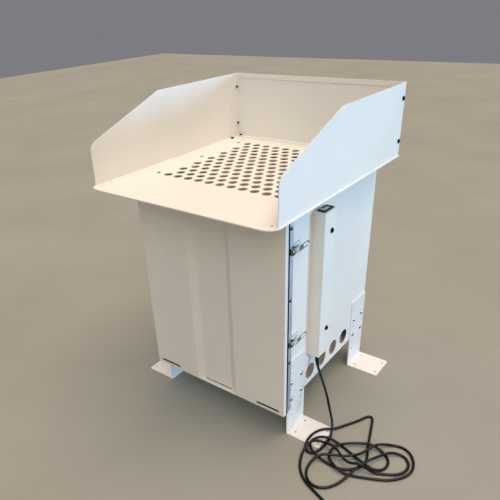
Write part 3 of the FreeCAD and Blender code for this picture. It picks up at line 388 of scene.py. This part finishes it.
def floor_under(x, y, soles):
    for low, high in soles:
        within_x = low.x / MM - CORD_R < x < high.x / MM + CORD_R
        within_y = low.y / MM - CORD_R < y < high.y / MM + CORD_R
        if within_x and within_y:
            return SOLE_TOP
    return 0.0


SETTLE_ROUNDS = 400
SETTLE_GAP = 1.04 * CORD_D
SETTLE_LIFT = 0.35
SETTLE_SIDE_LIFT = 0.18
SAME_STRETCH = 3


def settled(points, first, last):
    """Lift the loose points between first and last wherever the cord lies on an earlier stretch or on a sole."""
    control = np.array(points, float)
    sole = [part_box("foot_front_right")]
    for index in range(first, last):
        lift = floor_under(control[index][0], control[index][1], sole)
        control[index][2] = max(control[index][2], ON_FLOOR + lift)
    for _ in range(SETTLE_ROUNDS):
        samples, owners = spline_samples(control)
        gap = samples[:, None, :] - samples[None, :, :]
        near = np.sum(gap * gap, axis=2) < SETTLE_GAP ** 2
        apart = owners[:, None] - owners[None, :] > SAME_STRETCH
        movable = (owners >= first) & (owners < last)
        later = np.unique(owners[np.any(near & apart & movable[:, None], axis=1)])
        if len(later) == 0:
            break
        for index in later:
            control[index][2] += SETTLE_LIFT
            for side in (index - 1, index + 1):
                if first <= side < last:
                    control[side][2] += SETTLE_SIDE_LIFT
    return [tuple(point) for point in control]


def cord_curve(name, points, radius):
    curve = bpy.data.curves.new(name, "CURVE")
    curve.dimensions = "3D"
    curve.bevel_depth = radius * MM
    curve.bevel_resolution = 4
    curve.use_fill_caps = True
    curve.resolution_u = 6
    spline = curve.splines.new("NURBS")
    spline.points.add(len(points) - 1)
    for target, point in zip(spline.points, points):
        target.co = (*[value * MM for value in point], 1.0)
    spline.order_u = 3
    spline.use_endpoint_u = True
    piece = bpy.data.objects.new(name, curve)
    bpy.context.scene.collection.objects.link(piece)
    piece.data.materials.append(JACKET)
    return piece


loose = [on_ground(point) for point in FIRST_LOOP + BIGHT + PILE]
route = [*LEAD, *loose, *[on_ground(point) for point in TAIL], *coil_points(), *END]
route = settled(route, len(LEAD), len(LEAD) + len(loose))
cord = cord_curve("mains_cord", route, CORD_R)
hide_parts("cord_lead", "cord_bight", "cord_tail", "cord_pile", "cord_coil")
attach(cord, "station")


# ---------------------------------------------------------------- mesh helpers
def mesh_piece(name, build, material, body, smooth_angle=40.0):
    """Make a mesh in a bmesh that build fills, in metres, and let it ride on a body."""
    mesh = bpy.data.meshes.new(name)
    work = bmesh.new()
    build(work)
    bmesh.ops.recalc_face_normals(work, faces=work.faces)
    limit = math.radians(smooth_angle)
    for face in work.faces:
        face.smooth = True
    for edge in work.edges:
        edge.smooth = edge.is_manifold and edge.calc_face_angle(math.pi) < limit
    work.to_mesh(mesh)
    work.free()
    piece = bpy.data.objects.new(name, mesh)
    bpy.context.scene.collection.objects.link(piece)
    mesh.materials.append(material)
    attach(piece, body)
    return piece


def turned(work, profile, base, direction, steps=32):
    """Revolve (radius, height) pairs, in millimetres, about direction from base; radius 0 closes an end."""
    spin = Vector((0, 0, 1)).rotation_difference(Vector(direction)).to_matrix()
    rings = []
    for radius, height in profile:
        if radius == 0:
            rings.append([work.verts.new(base + spin @ Vector((0, 0, height * MM)))])
            continue
        ring = []
        for step in range(steps):
            angle = 2 * math.pi * step / steps
            place = Vector((radius * math.cos(angle), radius * math.sin(angle), height)) * MM
            ring.append(work.verts.new(base + spin @ place))
        rings.append(ring)
    for low, high in zip(rings, rings[1:]):
        for step in range(steps):
            following = (step + 1) % steps
            corners = [low[step % len(low)], low[following % len(low)], high[following % len(high)],
                       high[step % len(high)]]
            work.faces.new(list(dict.fromkeys(corners)))


RIVET = [(0, -0.4), (3.1, -0.4), (3.3, 0.1), (2.9, 0.8), (1.9, 1.3), (1.2, 1.35), (1.0, 0.9), (0, 0.9)]


def rivets(name, places, direction, material, scale=1.0):
    profile = [(radius * scale, height * scale) for radius, height in RIVET]

    def build(work):
        for place in places:
            turned(work, profile, place, direction, 20)

    return mesh_piece(name, build, material, "station")


# ---------------------------------------------------------------- details on the cabinet
def cabinet_rivets():
    rear_low, rear_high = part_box("rear_panel")
    inset = 0.014
    end_inset = 0.03
    gaps = 5
    places = []
    for x in (rear_low.x + inset, rear_high.x - inset):
        for step in range(gaps + 1):
            z = rear_low.z + end_inset + step * (rear_high.z - rear_low.z - 2 * end_inset) / gaps
            places.append(Vector((x, rear_high.y, z)))
    for step in (1, 2, 3):
        x = rear_low.x + step * (rear_high.x - rear_low.x) / 4
        places.append(Vector((x, rear_high.y, rear_low.z + inset)))
        places.append(Vector((x, rear_high.y, rear_high.z - inset)))
    rivets("rear_panel_rivets", places, (0, 1, 0), WHITE)


LATCH_HEIGHTS = (0.348, 0.628)
LATCH_BASE_TOP_X = 0.239


def latch_rivets():
    """Four rivets in each latch base."""
    low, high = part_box("latch_bases")
    end_inset = 0.0055
    half_pitch = 0.007
    right = []
    for z in LATCH_HEIGHTS:
        for y in (low.y + end_inset, high.y - end_inset):
            for dz in (-half_pitch, half_pitch):
                right.append(Vector((LATCH_BASE_TOP_X, y, z + dz)))
    left = [Vector((-place.x, place.y, place.z)) for place in right]
    rivets("latch_rivets_right", right, (1, 0, 0), ZINC, 0.8)
    rivets("latch_rivets_left", left, (-1, 0, 0), ZINC, 0.8)


def wire_helix(points, wire, name, material, body):
    """A coiled wire along points, in metres."""
    curve = bpy.data.curves.new(name, "CURVE")
    curve.dimensions = "3D"
    curve.bevel_depth = wire
    curve.bevel_resolution = 2
    curve.use_fill_caps = True
    spline = curve.splines.new("POLY")
    spline.points.add(len(points) - 1)
    for target, point in zip(spline.points, points):
        target.co = (*point, 1.0)
    shape = bpy.data.objects.new(name + ".line", curve)
    bpy.context.scene.collection.objects.link(shape)
    bpy.context.view_layer.update()
    mesh = bpy.data.meshes.new_from_object(shape.evaluated_get(bpy.context.evaluated_depsgraph_get()))
    bpy.data.objects.remove(shape)
    for polygon in mesh.polygons:
        polygon.use_smooth = True
    piece = bpy.data.objects.new(name, mesh)
    bpy.context.scene.collection.objects.link(piece)
    mesh.materials.clear()
    mesh.materials.append(material)
    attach(piece, body)


def latch_springs():
    """The pressure spring on each arm of each wire bail."""
    coil_r, wire, turns, steps = 2.05, 0.65, 6, 14
    bail_wire_r = 1.25
    first_at, length = 3.5, 14.5
    for place in ("upper", "lower"):
        for side in ("left", "right"):
            body = "latch_bail_" + place + "_" + side
            low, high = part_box(body)
            out = 1 if side == "right" else -1
            inner_x = min(abs(low.x), abs(high.x)) / MM + bail_wire_r
            outer_x = max(abs(low.x), abs(high.x)) / MM - bail_wire_r
            front_y = low.y / MM + bail_wire_r
            rear_y = high.y / MM - bail_wire_r
            for arm, z in (("low", low.z / MM + bail_wire_r), ("high", high.z / MM - bail_wire_r)):
                front = Vector((outer_x * out, front_y, z))
                rear = Vector((inner_x * out, rear_y, z))
                way = (rear - front).normalized()
                across = Vector((0, 0, 1)).cross(way)
                points = []
                for step in range(turns * steps + 1):
                    angle = 2 * math.pi * step / steps
                    centre = front + way * (first_at + length * step / (turns * steps))
                    ring = across * math.cos(angle) + Vector((0, 0, 1)) * math.sin(angle)
                    points.append((centre + ring * coil_r) * MM)
                wire_helix(points, wire * MM, f"latch_spring_{place}_{side}_{arm}", SPRING_STEEL, body)


cabinet_rivets()
latch_rivets()
latch_springs()


# ---------------------------------------------------------------- cord ends
def cord_places():
    """The places along the cord's own line, in metres, from its exit."""
    depth = cord.data.bevel_depth
    cord.data.bevel_depth = 0.0
    bpy.context.view_layer.update()
    mesh = bpy.data.meshes.new_from_object(cord.evaluated_get(bpy.context.evaluated_depsgraph_get()))
    places = [vertex.co.copy() for vertex in mesh.vertices]
    bpy.data.meshes.remove(mesh)
    cord.data.bevel_depth = depth
    return places


def at_distance(places, distance):
    """The point that far along the places, and the direction there."""
    gone = 0.0
    for start, end in zip(places, places[1:]):
        run = (end - start).length
        if gone + run >= distance and run > 0:
            way = (end - start).normalized()
            return start + way * (distance - gone), way
        gone += run
    raise ValueError("the cord is shorter than that")


def strain_relief(places):
    """A ribbed tapered sleeve that bends with the first stretch of the cord, under the gland."""
    bore_r, collar_r = 4.02, 6.6
    ribs, first_rib, rib_pitch = 7, 3.2, 4.2
    rib_r, taper, groove = 6.3, 0.25, 0.9
    profile = [(bore_r, 0.1), (collar_r, 0.1), (collar_r, 2)]
    for rib in range(ribs):
        height = first_rib + rib * rib_pitch
        wide = rib_r - rib * taper
        narrow = wide - groove
        profile += [(narrow, height), (wide, height + 0.6), (wide, height + 2.1), (narrow, height + 2.7)]
    profile += [(4.7, 33.0), (bore_r, 34.0)]
    steps = 28

    def build(work):
        rings = []
        for radius, height in profile:
            centre, way = at_distance(places, height * MM)
            side = way.cross(Vector((0, 1, 0))).normalized()
            other = way.cross(side)
            ring = []
            for step in range(steps):
                angle = 2 * math.pi * step / steps
                around = side * math.cos(angle) + other * math.sin(angle)
                ring.append(work.verts.new(centre + around * radius * MM))
            rings.append(ring)
        for low, high in zip(rings, rings[1:] + rings[:1]):
            for step in range(steps):
                following = (step + 1) % steps
                work.faces.new((low[step], low[following], high[following], high[step]))

    return mesh_piece("strain_relief", build, BLACK_PLASTIC, "station")


def coil_tie():
    """A flat strap around the coil's turns."""
    angle = math.radians(-60.0)
    outward = Vector((math.cos(angle), math.sin(angle), 0))
    along = Vector((-outward.y, outward.x, 0))
    middle = Vector((COIL_X, COIL_Y, 0)) + outward * (COIL_R - COIL_PITCH)
    half_bundle, slack = 12.0, 0.9
    half_wide = half_bundle + slack
    low, high = 0.1, 17.6
    corner = 3.6
    corner_steps = 6
    half_strap, strap_thickness = 4.0, 0.9
    lowest = 0.05
    corners = [(half_wide - corner, low + corner, -90), (half_wide - corner, high - corner, 0),
               (corner - half_wide, high - corner, 90), (corner - half_wide, low + corner, 180)]
    outline = []
    for centre_x, centre_z, first in corners:
        for step in range(corner_steps + 1):
            turn = math.radians(first + step * 90 / corner_steps)
            outline.append((centre_x + corner * math.cos(turn), centre_z + corner * math.sin(turn), turn))

    def build(work):
        rings = []
        for wide, thick in ((-half_strap, 0.0), (-half_strap, strap_thickness), (half_strap, strap_thickness),
                            (half_strap, 0.0)):
            ring = []
            for x, z, turn in outline:
                grown_x = x + thick * math.cos(turn)
                grown_z = max(z + thick * math.sin(turn), lowest)
                place = middle + outward * grown_x + along * wide + Vector((0, 0, grown_z))
                ring.append(work.verts.new(place * MM))
            rings.append(ring)
        count = len(outline)
        for first, second in zip(rings, rings[1:] + rings[:1]):
            for step in range(count):
                following = (step + 1) % count
                work.faces.new((first[step], first[following], second[following], second[step]))

    return mesh_piece("coil_tie", build, BLACK_PLASTIC, "station")


def plug_shell():
    """A ribbed round plug with two pins, from the last point of the cord's route."""
    pin_offset = 9.5
    base = Vector(END[-1]) * MM
    way = Vector((0.35, -1.0, 0)).normalized()
    body = [(4.05, 0), (6.2, 0), (6.6, 1.2), (6.0, 2.2), (6.9, 3.2), (7.3, 4.2), (6.8, 5.4), (8.0, 6.6),
            (8.4, 7.8), (7.9, 9.2), (9.6, 12), (11.2, 16), (13.0, 20), (15.2, 24.5), (16.9, 28), (17.4, 29.5),
            (17.4, 43.5), (16.6, 45.4), (15.4, 46), (15.4, 44.2), (0, 44.2)]

    def build(work):
        turned(work, body, base, way, 40)

    shell = mesh_piece("plug_shell", build, BLACK_PLASTIC, "station", 30.0)
    aside = way.cross(Vector((0, 0, 1))).normalized()
    pin = [(0, 44.0), (2.35, 44.0), (2.35, 62.6), (2.0, 63.6), (1.2, 64.0), (0, 64.0)]

    def build_pins(work):
        for side in (-1, 1):
            turned(work, pin, base + aside * side * pin_offset * MM, way, 20)

    pins = mesh_piece("plug_pins", build_pins, ZINC, "station")
    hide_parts("plug")
    return shell, pins


cord_line = cord_places()
relief = strain_relief(cord_line)
tie = coil_tie()
shell, plug_pins = plug_shell()


# ---------------------------------------------------------------- stage and light
def make_floor():
    mesh = bpy.data.meshes.new("floor")
    reach = 9.0
    corners = [(-reach, -reach, 0), (reach, -reach, 0), (reach, reach, 0), (-reach, reach, 0)]
    mesh.from_pydata(corners, [], [(0, 1, 2, 3)])
    floor = bpy.data.objects.new("floor", mesh)
    bpy.context.scene.collection.objects.link(floor)
    shader = Shader("floor_paint", (0.305, 0.297, 0.268), 0.55, Specular_IOR_Level=0.0)
    cloud = shader.noise(1.3, 6.0, 0.6)
    shader.colour_from(shader.ramp(cloud, 0.3, 0.7, ((0.277, 0.278, 0.254), (0.315, 0.317, 0.290))))
    shader.roughness_from(shader.spread(shader.noise(4.0, 6.0), 0.42, 0.58))
    mesh.materials.append(shader.material)


def soft_sun(name, comes_from, strength, spread_deg, colour):
    """A wide, even light from one direction, so that the floor has no hot spot from any side."""
    data = bpy.data.lights.new(name, "SUN")
    data.energy = strength
    data.angle = math.radians(spread_deg)
    data.color = colour
    light = bpy.data.objects.new(name, data)
    light.rotation_euler = Vector(comes_from).to_track_quat("Z", "Y").to_euler()
    bpy.context.scene.collection.objects.link(light)


def make_world():
    """Soft room light: brighter overhead, with a darker band near the horizon that metal can mirror."""
    world = bpy.data.worlds.new("studio")
    world.use_nodes = True
    tree = world.node_tree
    background = tree.nodes["Background"]
    direction = tree.nodes.new("ShaderNodeTexCoord")
    split = tree.nodes.new("ShaderNodeSeparateXYZ")
    tree.links.new(direction.outputs["Generated"], split.inputs["Vector"])
    ramp_node = tree.nodes.new("ShaderNodeValToRGB")
    first, last = ramp_node.color_ramp.elements
    first.position, last.position = 0.0, 1.0
    first.color = (0.27, 0.27, 0.295, 1.0)
    last.color = (0.62, 0.60, 0.56, 1.0)
    for position, colour in ((0.06, (0.33, 0.33, 0.36, 1.0)), (0.22, (0.36, 0.36, 0.37, 1.0)),
                             (0.34, (0.56, 0.56, 0.56, 1.0))):
        ramp_node.color_ramp.elements.new(position).color = colour
    tree.links.new(split.outputs["Z"], ramp_node.inputs["Fac"])
    tree.links.new(ramp_node.outputs["Color"], background.inputs["Color"])
    background.inputs["Strength"].default_value = 0.75
    bpy.context.scene.world = world


make_floor()
make_world()
bpy.context.scene.view_settings.view_transform = "Standard"
soft_sun("window_light", (1.0, 0.45, 0.03), 2.5, 16.0, (0.30, 0.63, 1.0))
soft_sun("ceiling_light", (0.16, 0.12, 1.0), 2.25, 50.0, (1.0, 0.755, 0.555))
soft_sun("front_light", (0.9, -1.0, 1.2), 0.97, 36.0, (1.0, 0.98, 0.93))
